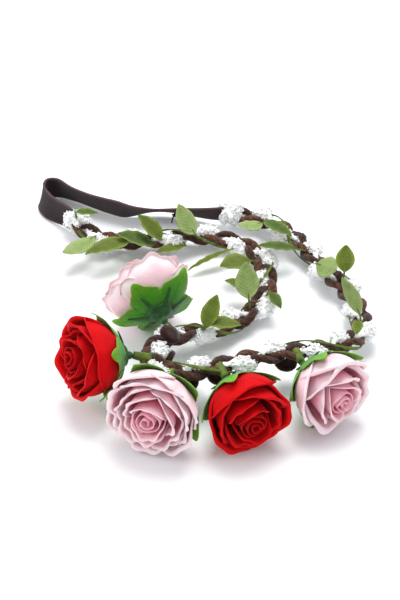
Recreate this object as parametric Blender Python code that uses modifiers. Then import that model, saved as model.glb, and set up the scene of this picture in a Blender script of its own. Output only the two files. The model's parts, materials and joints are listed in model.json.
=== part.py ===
"""Flower crown: a plaited band with a leafy vine, five fabric roses and an elastic.

The crown lies on a surface with +Z up and the roses towards -Y.  The origin is
under the middle of its outline.  Two cords and a white lace are plaited, a thin
green vine with leaves winds round the plait, and a flat elastic closes the loop
between two wrapped ends.  Each rose is glued to the outside of the band, with a
felt pad behind it: its calyx bends on the band, and its petals turn on the calyx's
peg.
"""
import math

import bmesh
import bpy
from mathutils import Matrix, Vector

MM = 0.001
UP = Vector((0.0, 0.0, 1.0))

# ---------------------------------------------------------------- sizes, in mm
GAP = 0.3                      # clearance between pieces that touch

CORD_RADIUS = 1.45             # each of the three plaited strands
PLAIT_EASE_ACROSS = 0.7        # how loosely the strands lie side by side
PLAIT_EASE_UP = 1.05           # and how loosely they cross
PLAIT_HALF_WIDTH = 2.0 * CORD_RADIUS + PLAIT_EASE_ACROSS  # a strand's swing to each side
PLAIT_HALF_HEIGHT = CORD_RADIUS + PLAIT_EASE_UP           # and its swing up and down
PLAIT_PERIOD = 33.5            # length of band in which a strand comes back
PLAIT_STEPS = 10               # points of a strand in one period

VINE_RADIUS = 0.7
VINE_PITCH = 58.0              # length of band for one turn of the vine
VINE_STEPS = 14
VINE_SLACK_ACROSS = 0.55       # how loosely the vine lies beside the plait
VINE_SLACK_UP = 0.8            # and over it, where crossing strands bulge

WRAP_LENGTH = 13.0             # sleeve of lace wound over each end of the plait
WRAP_WALL = 0.8
WRAP_EASE = 0.6                # room round what the sleeve holds
WRAP_ON_PLAIT = 8.0            # how much of the sleeve is over the plait

ELASTIC_WIDTH = 12.0
ELASTIC_FOLDED_WIDTH = 8.5     # the right end is folded narrower
ELASTIC_THICKNESS = 1.0
ELASTIC_STEP = 3.4
ELASTIC_START = 0.7 * CORD_RADIUS  # from the end of the plait, past its slanted strands
UNFOLDED_SHARE = 0.25          # share of the elastic's length over which it unfolds
KNOT_RADIUS = 1.3              # thread knot on the inside of the elastic
KNOT_SHARE = 0.20              # and its place, as a share of the elastic's length

PAD_RADIUS = 4.7
PAD_THICKNESS = 1.2
FOOT_CLEARANCE = 0.35          # calyx to what winds round the plait
PAD_CLEARANCE = 1.1            # felt pad to it, which also clears a tight bend of the band
BALL_RADIUS = 1.8              # rounded foot of the calyx, where it bends
PEG_RADIUS = 1.2
PEG_CHAMFER = 0.5
CUP_RADIUS = 6.2
CUP_FLOOR = 1.6
CUP_NECK_SHARE = 0.55          # the cup's radius at its foot, to that at its rim
CUP_RIM = 0.9                  # height of the bead below the rim
CUP_BEAD = 0.2                 # and how far it stands out
COLLAR_THICKNESS = 0.5
COLLAR_GAP = 1.0               # how loosely the collar lies under the petals
COLLAR_LOBES = 5
COLLAR_NOTCH = 34.0            # where the notches between the lobes end up the bowl, degrees
COLLAR_REACH = 64.0            # and where the lobes' tips do
PETAL_THICKNESS = 0.6
PETALS_ROUND = 5
SPIN_GAP = 0.45                # clearance round what turns on the peg
LAYER_STEP = 1.4               # height between two layers of petals on the peg
PEG_ABOVE_LAYERS = 1.5
OUTER_WAVE = 1.6               # how deep the rims of the petals are waved
MIDDLE_WAVE = 1.2
MIDDLE_RADIUS_SHARE = 0.72     # middle petals to outer petals
MIDDLE_HEIGHT_SHARE = 0.85
HEART_RADIUS_SHARE = 0.36      # rolled heart to outer petals
HEART_TOP_SHARE = 0.62
HEART_HOLLOW = 1.0             # how deep the heart's top is sunk

LEAF_THICKNESS = 0.5
PETIOLE_LENGTH = 3.0
PETIOLE_WIDTH = 1.6
LEAF_TIP_WIDTH = 0.5
LEAF_FOLD = 0.22               # rise of a leaf's edges to their distance from its rib
LEAF_DROOP = 0.10              # drop of its tip to its length

OUTLINE_MIDDLE = (-1.5, 5.7)   # of the points below; the model's origin is under it

# Middle of the plait, from the wrapped end on the left round to the other one.
BAND_POINTS = (
    (-60, 69, 7.8), (-53, 61, 7.2), (-45, 56, 6.6), (-35, 54, 6.5), (-24, 55, 6.5), (-13, 57, 6.5),
    (-2, 58, 6.5), (9, 57, 6.5), (18, 53, 6.5), (25, 46, 6.5), (29, 36, 6.5), (30.5, 24, 6.5),
    (29, 13, 6.5), (24.5, 3, 6.5), (17, -5, 6.7), (7.5, -11.5, 7.2), (-3, -17, 9.4),
    (-11, -23.5, 12), (-17.5, -30.5, 14.4), (-20.5, -39, 16.4), (-19.5, -48, 17.8),
    (-13, -54, 18.4), (-3, -54.5, 18.8), (7, -51.5, 19), (18, -47, 19), (29, -43.5, 18.6),
    (40, -40, 17.6), (51, -35.5, 15.6), (61, -29.5, 13), (68, -20.5, 10), (71, -10, 7.6),
    (71, 1, 6.6), (68, 12, 6.5), (62.5, 23, 6.5), (57, 33, 6.5), (52, 43, 6.5), (47, 53, 6.5),
    (41, 62, 6.5), (33, 69, 6.6), (23, 73.5, 7.2), (13, 75, 7.8),
)

# Middle of the elastic, from one end of the plait to the other: x, y, z and the lean
# of the elastic from upright in degrees.
ELASTIC_POINTS = (
    (13, 75, 7.8, -10), (5, 76.3, 6.9, -22), (-2, 77.8, 6.4, -36), (-9, 79, 6.4, -47),
    (-16, 79.6, 6.4, -52), (-23, 79.6, 6.4, -50), (-31, 79.4, 6.3, -38), (-38, 80.8, 6.1, -24),
    (-44, 83.4, 6.1, -24), (-50, 86.4, 6.1, -24), (-56, 90, 6.1, -24), (-62, 94.2, 6.1, -24),
    (-69, 98.4, 6.1, -12), (-74.5, 97.5, 6.1, -6), (-76.8, 91.5, 6.1, -12), (-74, 84.3, 6.1, -18),
    (-69, 78.5, 6.9, -14), (-64.2, 73.8, 7.7, -4), (-60, 69, 7.8, 0),
)

# name, place of the rose along the band, heading from +X and lift of its axis in degrees,
# radius and height of the outer petals, opening of the outer and middle petals in degrees
ROSES = (
    ("back_pink", 186, 115, 17, 19.4, 13.5, 100, 112),
    ("left_red", 205.5, 206, 16, 17.4, 15.0, 108, 124),
    ("front_pink", 225, 252, 3, 19.4, 13.5, 98, 108),
    ("front_red", 244, 292, -2, 17.4, 16.0, 108, 124),
    ("right_pink", 276.5, 302, 0, 16.8, 15.5, 104, 116),
)

# Felt pads: name, place along the band, and the heading and lift of the side each lies on.
PADS = (
    ("back_pink", 195, 270, 42),
    ("left_red", 203, 12, -30),
    ("front_pink", 230, 72, -70),
    ("front_red", 245, 112, -70),
    ("right_pink", 276, 122, -70),
)

# place along the band, place round it from the top towards its right side, heading
# from +X, lift, length, width, twist about its own length: degrees and mm
LEAVES = (
    (18, 55, 225, -3, 19.0, 9.0, 180),
    (32, 50, 209, 6, 22.0, 10.0, 0),
    (42, 68, 177, 25, 17.0, 9.0, 0),
    (4, 5, 352, 6, 10.0, 5.0, 0),
    (46, 50, 150, 42, 15.0, 9.0, 0),
    (63, 42, 138, 44, 15.5, 10.5, 180),
    (57, 85, 198, 3, 13.0, 6.0, 0),
    (86, 80, 205, -6, 23.0, 5.0, 20),
    (106, 60, 200, 6, 14.0, 11.0, 0),
    (128, 75, 165, 18, 11.0, 6.0, 0),
    (143, 10, 98, 48, 15.5, 10.0, 180),
    (134, -35, 300, -12, 9.0, 5.0, 0),
    (172, -40, 66, 42, 15.0, 7.5, 0),
    (170, -30, 358, 3, 14.0, 8.0, 0),
    (240, -130, 142, -25, 19.0, 5.0, 30),
    (416, -60, 208, 8, 13.0, 8.0, 180),
    (414, -50, 311, 10, 18.0, 7.0, 0),
    (386, -60, 188, 17, 18.0, 6.0, 0),
    (369, -40, 318, 12, 12.0, 10.0, 215),
    (357, 10, 84, 38, 12.5, 8.0, 0),
    (322, -10, 122, 42, 17.0, 7.0, 120),
    (312, 0, 262, 6, 9.0, 4.5, 0),
)

# ------------------------------------------------------------------- materials
COLOURS = {
    "cord_russet": ((0.16, 0.055, 0.028), 0.9),
    "cord_dark": ((0.075, 0.030, 0.022), 0.9),
    "lace_white": ((0.86, 0.84, 0.80), 0.95),
    "vine_green": ((0.20, 0.26, 0.05), 0.7),
    "elastic_brown": ((0.060, 0.032, 0.030), 0.85),
    "thread_black": ((0.02, 0.02, 0.02), 0.8),
    "felt_brown": ((0.12, 0.06, 0.04), 0.95),
    "plastic_green": ((0.03, 0.16, 0.03), 0.45),
    "collar_green": ((0.12, 0.36, 0.02), 0.7),
    "leaf_green": ((0.22, 0.28, 0.03), 0.7),
    "petal_red": ((0.72, 0.005, 0.008), 0.7),
    "petal_pink": ((0.90, 0.62, 0.68), 0.75),
}


def material(name):
    """A Principled material of the named colour, made once."""
    found = bpy.data.materials.get(name)
    if found:
        return found
    colour, roughness = COLOURS[name]
    made = bpy.data.materials.new(name)
    made.use_nodes = True
    shader = made.node_tree.nodes["Principled BSDF"]
    shader.inputs["Base Color"].default_value = (*colour, 1.0)
    shader.inputs["Roughness"].default_value = roughness
    shader.inputs["Metallic"].default_value = 0.0
    made.diffuse_color = (*colour, 1.0)
    return made


# ------------------------------------------------------------------ the routes
class Route:
    """A smooth curve through chosen points, read by the length along it.

    The points are chosen beside the crown's outline, whose middle becomes the origin.
    """

    SAMPLES = 24               # short chords between two chosen points

    def __init__(self, points):
        self.places = []
        self.lengths = [0.0]
        count = len(points)
        middle = Vector((*OUTLINE_MIDDLE, *(0,) * (len(points[0]) - 2)))
        vectors = [Vector(point) - middle for point in points]
        for index in range(count - 1):
            before = vectors[max(index - 1, 0)]
            start, end = vectors[index], vectors[index + 1]
            after = vectors[min(index + 2, count - 1)]
            last = 1 if index == count - 2 else 0
            for step in range(self.SAMPLES + last):
                self.places.append(catmull_rom(before, start, end, after, step / self.SAMPLES))
        for first, second in zip(self.places, self.places[1:]):
            self.lengths.append(self.lengths[-1] + (second - first).to_3d().length)

    @property
    def length(self):
        return self.lengths[-1]

    def at(self, along):
        """The point this far along, which runs on straight past both ends."""
        index = self._chord(along)
        start, end = self.places[index], self.places[index + 1]
        share = (along - self.lengths[index]) / (self.lengths[index + 1] - self.lengths[index])
        return start + (end - start) * share

    def frame(self, along, reach=1.0):
        """Point, tangent, right side and upper side of the band at this length."""
        tangent = (self.at(along + reach) - self.at(along - reach)).to_3d().normalized()
        side = tangent.cross(UP).normalized()
        return self.at(along), tangent, side, side.cross(tangent)

    def _chord(self, along):
        low, high = 0, len(self.lengths) - 2
        while low < high:
            middle = (low + high + 1) // 2
            if self.lengths[middle] <= along:
                low = middle
            else:
                high = middle - 1
        return low


def catmull_rom(before, start, end, after, share):
    """The point of a Catmull-Rom span, also for points with more than three numbers."""
    square, cube = share * share, share * share * share
    return 0.5 * (2.0 * start + (end - before) * share
                  + (2.0 * before - 5.0 * start + 4.0 * end - after) * square
                  + (3.0 * start - before - 3.0 * end + after) * cube)


# ------------------------------------------------------------ making of objects
def clear_scene():
    for thing in list(bpy.data.objects):
        bpy.data.objects.remove(thing, do_unlink=True)


def crown_collection():
    collection = bpy.data.collections.new("flower_crown")
    bpy.context.scene.collection.children.link(collection)
    return collection


def add_object(collection, name, data, material_name):
    made = bpy.data.objects.new(name, data)
    made.data.materials.append(material(material_name))
    collection.objects.link(made)
    return made


def add_empty(collection, name, matrix, parent=None):
    """A helper that carries moving pieces, with its origin on their joint's axis."""
    made = bpy.data.objects.new(name, None)
    made.empty_display_size = 5 * MM
    collection.objects.link(made)
    made.parent = parent
    made.matrix_local = matrix
    return made


def tube(collection, name, points, radius, material_name):
    """A round tube along points given in mm."""
    curve = bpy.data.curves.new(name, "CURVE")
    curve.dimensions = "3D"
    spline = curve.splines.new("POLY")
    spline.points.add(len(points) - 1)
    for spot, point in zip(spline.points, points):
        spot.co = (point.x * MM, point.y * MM, point.z * MM, 1.0)
    curve.bevel_depth = radius * MM
    curve.bevel_resolution = 2
    curve.use_fill_caps = True
    curve.twist_mode = "MINIMUM"
    return add_object(collection, name, curve, material_name)


def grid_mesh(name, rows, closed=False):
    """An open surface through rows of points in mm, round in each row if closed."""
    mesh = bpy.data.meshes.new(name)
    shape = bmesh.new()
    lines = [[shape.verts.new(Vector(point) * MM) for point in row] for row in rows]
    for first, second in zip(lines, lines[1:]):
        width = len(first)
        for index in range(width if closed else width - 1):
            following = (index + 1) % width
            shape.faces.new((first[index], first[following], second[following], second[index]))
    shape.to_mesh(mesh)
    shape.free()
    mesh.shade_smooth()
    return mesh


def thicken(piece, thickness):
    """Give an open surface its thickness, half to each side."""
    shell = piece.modifiers.new("thickness", "SOLIDIFY")
    shell.thickness = thickness * MM
    shell.offset = 0.0
    shell.use_even_offset = True
    return piece


def turned(collection, name, profile, steps, material_name):
    """A solid turned about Z from a profile of (radius, height) in mm, both ends on the axis.

    The profile runs from the bottom up, so that its faces point out after the turn.
    """
    mesh = bpy.data.meshes.new(name)
    shape = bmesh.new()
    spots = [shape.verts.new((radius * MM, 0.0, height * MM)) for radius, height in profile]
    for first, second in zip(spots, spots[1:]):
        shape.edges.new((first, second))
    shape.to_mesh(mesh)
    shape.free()
    piece = add_object(collection, name, mesh, material_name)
    screw = piece.modifiers.new("turn", "SCREW")
    screw.axis = "Z"
    screw.angle = math.tau
    screw.steps = steps
    screw.render_steps = steps
    screw.use_merge_vertices = True
    screw.merge_threshold = 0.00001
    screw.use_normal_flip = False
    screw.use_normal_calculate = True
    screw.use_smooth_shade = True
    return piece


# -------------------------------------------------------------------- the band
def strand_points(band, phase):
    """Middle of one plaited strand: a figure of eight across, carried along the band."""
    count = round(band.length / PLAIT_PERIOD * PLAIT_STEPS)
    points = []
    for index in range(count + 1):
        along = band.length * index / count
        middle, _, side, upper = band.frame(along)
        turn = math.tau * along / PLAIT_PERIOD + phase
        points.append(middle + side * PLAIT_HALF_WIDTH * math.sin(turn)
                      + upper * PLAIT_HALF_HEIGHT * math.sin(2.0 * turn))
    return points


def add_plait(collection, band):
    strands = (("brown_cord_russet", "cord_russet"), ("brown_cord_dark", "cord_dark"),
               ("white_lace", "lace_white"))
    for index, (name, colour) in enumerate(strands):
        points = strand_points(band, math.tau * index / len(strands))
        tube(collection, name, points, CORD_RADIUS, colour)


def vine_points(band):
    """Middle of the vine, which winds round the outside of the plait."""
    across = PLAIT_HALF_WIDTH + CORD_RADIUS + GAP + VINE_RADIUS + VINE_SLACK_ACROSS
    upright = PLAIT_HALF_HEIGHT + CORD_RADIUS + GAP + VINE_RADIUS + VINE_SLACK_UP
    start = WRAP_ON_PLAIT + 1.0
    end = band.length - WRAP_ON_PLAIT - 1.0
    count = round((end - start) / VINE_PITCH * VINE_STEPS)
    points = []
    for index in range(count + 1):
        along = start + (end - start) * index / count
        middle, _, side, upper = band.frame(along)
        turn = math.tau * along / VINE_PITCH
        points.append(middle + side * across * math.sin(turn) + upper * upright * math.cos(turn))
    return points


def add_vine(collection, band):
    tube(collection, "vine_ribbon", vine_points(band), VINE_RADIUS, "vine_green")


def wrap_bore():
    """Inner radius of an end wrap, round the elastic and the plait."""
    return max(ELASTIC_WIDTH / 2, PLAIT_HALF_WIDTH + CORD_RADIUS) + WRAP_EASE


def add_end_wrap(collection, name, centre, tangent):
    """A sleeve, open at both ends, over the end of the plait and the end of the elastic."""
    radius = wrap_bore() + WRAP_WALL / 2
    half = WRAP_LENGTH / 2
    steps = 14
    rows = []
    for height in (-half, half):
        rows.append([(radius * math.cos(math.tau * index / steps),
                      radius * math.sin(math.tau * index / steps), height) for index in range(steps)])
    piece = add_object(collection, name, grid_mesh(name, rows, closed=True), "lace_white")
    thicken(piece, WRAP_WALL)
    piece.rotation_mode = "QUATERNION"
    piece.rotation_quaternion = tangent.to_track_quat("Z", "Y")
    piece.location = centre * MM
    return piece


def add_end_wraps(collection, band):
    overhang = WRAP_LENGTH / 2 - WRAP_ON_PLAIT
    for name, along in (("left_end_wrap", -overhang), ("right_end_wrap", band.length + overhang)):
        centre, tangent, _, _ = band.frame(along)
        add_end_wrap(collection, name, centre, tangent)


# ----------------------------------------------------------------- the elastic
def elastic_width(share):
    """Width of the elastic at a share of its length: folded narrower at its start."""
    unfolded = min(1.0, share / UNFOLDED_SHARE)
    return ELASTIC_FOLDED_WIDTH + (ELASTIC_WIDTH - ELASTIC_FOLDED_WIDTH) * unfolded


def add_elastic(collection, route):
    """A flat woven band that stands on its edge, leans and twists."""
    length = route.length - 2.0 * ELASTIC_START
    count = round(length / ELASTIC_STEP)
    rows = []
    for index in range(count + 1):
        along = ELASTIC_START + length * index / count
        place = route.at(along)
        tangent = (route.at(along + 0.5) - route.at(along - 0.5)).to_3d()
        outward = tangent.cross(UP).normalized()
        lean = math.radians(place.w)
        across = UP * math.cos(lean) + outward * math.sin(lean)
        half = across * elastic_width(index / count) / 2
        middle = place.to_3d()
        rows.append([middle - half, middle, middle + half])
    piece = add_object(collection, "elastic_band", grid_mesh("elastic_band", rows), "elastic_brown")
    return thicken(piece, ELASTIC_THICKNESS)


def add_knot(collection, route):
    """The tied end of the sewing thread, beside the elastic."""
    along = route.length * KNOT_SHARE
    place = route.at(along)
    mesh = bpy.data.meshes.new("thread_knot")
    shape = bmesh.new()
    bmesh.ops.create_uvsphere(shape, u_segments=10, v_segments=6, radius=KNOT_RADIUS * MM)
    shape.to_mesh(mesh)
    shape.free()
    mesh.shade_smooth()
    knot = add_object(collection, "thread_knot", mesh, "thread_black")
    tangent = (route.at(along + 0.5) - route.at(along - 0.5)).to_3d()
    outward = tangent.cross(UP).normalized()
    lean = math.radians(place.w)
    face = UP * math.sin(lean) - outward * math.cos(lean)
    stand_off = ELASTIC_THICKNESS / 2 + GAP + KNOT_RADIUS
    knot.location = (place.to_3d() + face * stand_off) * MM
    return knot


# ------------------------------------------------------------------- the roses
class RoseSizes:
    """Heights of one rose along its axis, from the foot of its calyx on the band."""

    def __init__(self, radius, height):
        self.radius = radius
        self.height = height
        self.pivot = BALL_RADIUS
        self.cup_foot = self.pivot + BALL_RADIUS * 0.8
        self.cup_top = self.cup_foot + CUP_FLOOR
        self.collar = self.cup_top + GAP + COLLAR_THICKNESS / 2
        self.petals = self.collar + COLLAR_THICKNESS / 2 + COLLAR_GAP + PETAL_THICKNESS / 2
        self.centre = self.petals + height
        self.peg_top = self.petals + LAYER_STEP + PEG_ABOVE_LAYERS

    def shell(self, outward, angle):
        """Radius and height of the petals' bowl at an angle from its foot, moved outward."""
        return ((self.radius + outward) * math.sin(angle),
                self.centre - (self.height + outward) * math.cos(angle))


def heading_vector(heading, lift):
    """Unit vector at a heading from +X and a lift from level, in degrees."""
    turn, rise = math.radians(heading), math.radians(lift)
    return Vector((math.cos(turn) * math.cos(rise), math.sin(turn) * math.cos(rise), math.sin(rise)))


def plait_envelope():
    """Distance from the middle of the band to the outside of the vine that winds round it."""
    return PLAIT_HALF_WIDTH + CORD_RADIUS + GAP + 2 * VINE_RADIUS + VINE_SLACK_ACROSS


def rose_matrix(band, along, heading, lift):
    """Place of a rose: +Z along its axis, +X along the band, origin at the calyx's foot."""
    middle, tangent, _, _ = band.frame(along)
    axis = heading_vector(heading, lift)
    slant = tangent.dot(axis)
    along_band = (tangent - axis * slant).normalized()
    place = Matrix((along_band, axis.cross(along_band), axis)).transposed().to_4x4()
    stand_off = plait_envelope() / math.sqrt(1.0 - slant * slant) + FOOT_CLEARANCE
    place.translation = (middle + axis * stand_off) * MM
    return place


def add_pad(collection, band, rose, along, heading, lift):
    """Felt disc flat against the plait, on the side that faces this heading and lift."""
    middle, tangent, _, _ = band.frame(along)
    facing = heading_vector(heading, lift)
    facing = (facing - tangent * tangent.dot(facing)).normalized()
    place = Matrix((tangent, facing.cross(tangent), facing)).transposed().to_4x4()
    place.translation = (middle + facing * (plait_envelope() + PAD_CLEARANCE + PAD_THICKNESS / 2)) * MM
    mesh = bpy.data.meshes.new(rose + "_felt_pad")
    shape = bmesh.new()
    bmesh.ops.create_cone(shape, cap_ends=True, segments=14, radius1=PAD_RADIUS * MM,
                          radius2=PAD_RADIUS * MM, depth=PAD_THICKNESS * MM)
    shape.to_mesh(mesh)
    shape.free()
    pad = add_object(collection, rose + "_felt_pad", mesh, "felt_brown")
    pad.matrix_world = place
    return pad


def add_calyx(collection, rose, sizes, carrier):
    """Moulded cup with a rounded foot below and the peg for the petals above."""
    foot = [(0.0, -BALL_RADIUS)]
    for degrees in (40, 80, 120):
        angle = math.radians(degrees)
        foot.append((BALL_RADIUS * math.sin(angle), -BALL_RADIUS * math.cos(angle)))
    drop = COLLAR_THICKNESS / 2 + GAP
    outward = sizes.petals - sizes.collar + drop
    rim_angle = math.asin(CUP_RADIUS / (sizes.radius + outward))
    rim_radius, rim_height = sizes.shell(outward, rim_angle)
    inner_angle = math.asin(PEG_RADIUS / (sizes.radius + outward))
    _, inner_height = sizes.shell(outward, inner_angle)
    cup = [(CUP_RADIUS * CUP_NECK_SHARE, sizes.cup_foot - sizes.pivot),
           (rim_radius + CUP_BEAD, rim_height - CUP_RIM - sizes.pivot),
           (rim_radius, rim_height - sizes.pivot)]
    top = [(PEG_RADIUS, inner_height - sizes.pivot),
           (PEG_RADIUS, sizes.peg_top - PEG_CHAMFER - sizes.pivot),
           (PEG_RADIUS - PEG_CHAMFER, sizes.peg_top - sizes.pivot), (0.0, sizes.peg_top - sizes.pivot)]
    calyx = turned(collection, rose + "_calyx", foot + cup + top, 10, "plastic_green")
    calyx.parent = carrier
    return calyx


def add_collar(collection, rose, sizes, carrier):
    """Broad fabric sepals in one piece, with a hole for the peg."""
    steps_round = 4 * COLLAR_LOBES
    outward = sizes.petals - sizes.collar
    first = math.asin((PEG_RADIUS + SPIN_GAP) / sizes.radius)
    rows = []
    for share in (0.0, 0.3, 0.65, 1.0):
        row = []
        for index in range(steps_round):
            turn = math.tau * index / steps_round
            lobe = 0.5 + 0.5 * math.cos(COLLAR_LOBES * turn)
            reach = math.radians(COLLAR_NOTCH + (COLLAR_REACH - COLLAR_NOTCH) * lobe)
            radius, height = sizes.shell(outward, first + (reach - first) * share)
            row.append((radius * math.cos(turn), radius * math.sin(turn), height - sizes.pivot))
        rows.append(row)
    name = rose + "_leaf_collar"
    collar = add_object(collection, name, grid_mesh(name, rows, closed=True), "collar_green")
    collar.parent = carrier
    return thicken(collar, COLLAR_THICKNESS)


def petal_rows(sizes, base, width, depth, opening, wave, turn_offset):
    """Rows of a bowl of petals in one piece, waved at its rim, above the peg's hole."""
    steps_round, steps_up = 3 * PETALS_ROUND, 3
    centre = base + depth
    first = math.asin((PEG_RADIUS + SPIN_GAP) / width)
    rows = []
    for level in range(steps_up + 1):
        share = level / steps_up
        row = []
        for index in range(steps_round):
            turn = math.tau * index / steps_round
            ripple = math.cos(PETALS_ROUND * (turn + turn_offset)) * share ** 3
            angle = first + (math.radians(opening) - first) * share
            radius = width * math.sin(angle) - wave * (1.0 - ripple) * share ** 3 / 2
            height = centre - depth * math.cos(angle) + wave * ripple - sizes.pivot
            row.append((radius * math.cos(turn), radius * math.sin(turn), height))
        rows.append(row)
    return rows


def add_petals(collection, rose, sizes, colour, outer_opening, middle_opening, carrier):
    """Outer and middle petals as bowls on the peg, and the rolled heart between them."""
    layers = (
        ("_outer_petals", sizes.petals, sizes.radius, sizes.height, outer_opening, OUTER_WAVE, 0.0),
        ("_middle_petals", sizes.petals + LAYER_STEP, sizes.radius * MIDDLE_RADIUS_SHARE,
         sizes.height * MIDDLE_HEIGHT_SHARE, middle_opening, MIDDLE_WAVE, math.pi / PETALS_ROUND),
    )
    for suffix, base, width, depth, opening, wave, offset in layers:
        rows = petal_rows(sizes, base, width, depth, opening, wave, offset)
        name = rose + suffix
        bowl = add_object(collection, name, grid_mesh(name, rows, closed=True), colour)
        bowl.parent = carrier
        thicken(bowl, PETAL_THICKNESS)
    heart_foot = sizes.peg_top + SPIN_GAP - sizes.pivot
    heart_top = sizes.centre + sizes.height * HEART_TOP_SHARE - sizes.pivot
    heart_radius = sizes.radius * HEART_RADIUS_SHARE
    profile = [(0.0, heart_foot)]
    for share in (0.15, 0.45, 0.75, 1.0):
        girth = math.sin(math.pi * (0.18 + 0.66 * share))
        profile.append((heart_radius * girth, heart_foot + (heart_top - heart_foot) * share))
    profile.append((0.0, heart_top - HEART_HOLLOW))
    heart = turned(collection, rose + "_heart", profile, 8, colour)
    heart.parent = carrier


def add_rose(collection, band, rose, along, heading, lift, radius, height, outer, middle):
    sizes = RoseSizes(radius, height)
    matrix = rose_matrix(band, along, heading, lift)
    pivot = matrix @ Matrix.Translation((0.0, 0.0, sizes.pivot * MM))
    nod = add_empty(collection, rose + "_nod", pivot)
    add_calyx(collection, rose, sizes, nod)
    add_collar(collection, rose, sizes, nod)
    spin = add_empty(collection, rose + "_spin", Matrix.Identity(4), nod)
    colour = "petal_red" if rose.endswith("red") else "petal_pink"
    add_petals(collection, rose, sizes, colour, outer, middle, spin)


# ------------------------------------------------------------------ the leaves
def leaf_rows(length, width):
    """Rows of a leaf along +X: a narrow stalk, then a folded, drooping pointed oval."""
    rows = []
    blade = length - PETIOLE_LENGTH
    stations = [(0.0, PETIOLE_WIDTH), (PETIOLE_LENGTH, PETIOLE_WIDTH)]
    for share in (0.18, 0.38, 0.58, 0.80, 1.0):
        girth = max(width * math.sin(math.pi * share ** 0.85) ** 0.8 if share < 1.0 else 0.0,
                    LEAF_TIP_WIDTH)
        stations.append((PETIOLE_LENGTH + blade * share, girth))
    for along, girth in stations:
        half = girth / 2
        sag = -LEAF_DROOP * along * along / length
        edge = sag + LEAF_FOLD * half
        rows.append([(along, -half, edge), (along, 0.0, sag), (along, half, edge)])
    return rows


def leaf_matrix(band, along, around, heading, lift, twist):
    """Place of a leaf: its stalk starts outside the vine's path, or outside an end wrap."""
    middle, _, side, upper = band.frame(along)
    turn = math.radians(around)
    inside = plait_envelope()
    if not WRAP_ON_PLAIT < along < band.length - WRAP_ON_PLAIT:
        inside = max(inside, wrap_bore() + WRAP_WALL)
    reach = inside + GAP + LEAF_THICKNESS
    start = middle + (upper * math.cos(turn) + side * math.sin(turn)) * reach
    place = (Matrix.Rotation(math.radians(heading), 4, "Z") @ Matrix.Rotation(math.radians(-lift), 4, "Y")
             @ Matrix.Rotation(math.radians(twist), 4, "X"))
    place.translation = start * MM
    return place


def add_leaves(collection, band):
    for number, (along, around, heading, lift, length, width, twist) in enumerate(LEAVES, start=1):
        name = f"leaf_{number:02d}"
        mesh = grid_mesh(name, leaf_rows(length, width))
        leaf = add_object(collection, name, mesh, "leaf_green")
        thicken(leaf, LEAF_THICKNESS)
        leaf.matrix_world = leaf_matrix(band, along, around, heading, lift, twist)


def main():
    clear_scene()
    collection = crown_collection()
    band = Route(BAND_POINTS)
    elastic = Route(ELASTIC_POINTS)
    add_plait(collection, band)
    add_vine(collection, band)
    add_end_wraps(collection, band)
    add_elastic(collection, elastic)
    add_knot(collection, elastic)
    for rose in ROSES:
        add_rose(collection, band, *rose)
    for pad in PADS:
        add_pad(collection, band, *pad)
    add_leaves(collection, band)
    bpy.context.view_layer.update()


main()
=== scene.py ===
"""Looks of the flower crown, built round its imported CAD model.

Every piece is made in the model's own frame, in metres, and rides on a CAD body.
"""

import json
import math
import random
from collections import namedtuple

import bpy
import numpy as np
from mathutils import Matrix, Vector, noise


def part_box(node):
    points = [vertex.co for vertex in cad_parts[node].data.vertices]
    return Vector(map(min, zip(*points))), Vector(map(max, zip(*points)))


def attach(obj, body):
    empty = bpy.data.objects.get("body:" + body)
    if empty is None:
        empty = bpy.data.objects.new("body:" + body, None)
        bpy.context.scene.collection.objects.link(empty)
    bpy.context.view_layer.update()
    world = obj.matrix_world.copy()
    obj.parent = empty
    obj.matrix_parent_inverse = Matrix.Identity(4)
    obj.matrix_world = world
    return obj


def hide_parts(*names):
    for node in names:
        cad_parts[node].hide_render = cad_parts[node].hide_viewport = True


MM = 0.001
TAU = math.tau
FLOOR_CLEARANCE = 0.15 * MM

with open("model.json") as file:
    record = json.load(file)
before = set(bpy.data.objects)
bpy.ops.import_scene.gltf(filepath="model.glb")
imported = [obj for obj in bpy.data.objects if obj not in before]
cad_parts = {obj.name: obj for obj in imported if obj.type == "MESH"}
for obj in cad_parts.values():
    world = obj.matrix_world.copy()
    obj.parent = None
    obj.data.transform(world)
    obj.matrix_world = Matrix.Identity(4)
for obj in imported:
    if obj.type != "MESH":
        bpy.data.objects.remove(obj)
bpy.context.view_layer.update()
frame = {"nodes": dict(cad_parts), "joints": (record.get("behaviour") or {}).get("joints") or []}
JOINTS = {joint["name"]: joint for joint in frame["joints"]}

# --------------------------------------------------------- routes, as in the CAD
OUTLINE_MIDDLE = (-1.5, 5.7)
BAND_POINTS = (
    (-60, 69, 7.8), (-53, 61, 7.2), (-45, 56, 6.6), (-35, 54, 6.5), (-24, 55, 6.5), (-13, 57, 6.5),
    (-2, 58, 6.5), (9, 57, 6.5), (18, 53, 6.5), (25, 46, 6.5), (29, 36, 6.5), (30.5, 24, 6.5),
    (29, 13, 6.5), (24.5, 3, 6.5), (17, -5, 6.7), (7.5, -11.5, 7.2), (-3, -17, 9.4),
    (-11, -23.5, 12), (-17.5, -30.5, 14.4), (-20.5, -39, 16.4), (-19.5, -48, 17.8),
    (-13, -54, 18.4), (-3, -54.5, 18.8), (7, -51.5, 19), (18, -47, 19), (29, -43.5, 18.6),
    (40, -40, 17.6), (51, -35.5, 15.6), (61, -29.5, 13), (68, -20.5, 10), (71, -10, 7.6),
    (71, 1, 6.6), (68, 12, 6.5), (62.5, 23, 6.5), (57, 33, 6.5), (52, 43, 6.5), (47, 53, 6.5),
    (41, 62, 6.5), (33, 69, 6.6), (23, 73.5, 7.2), (13, 75, 7.8),
)
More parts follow.
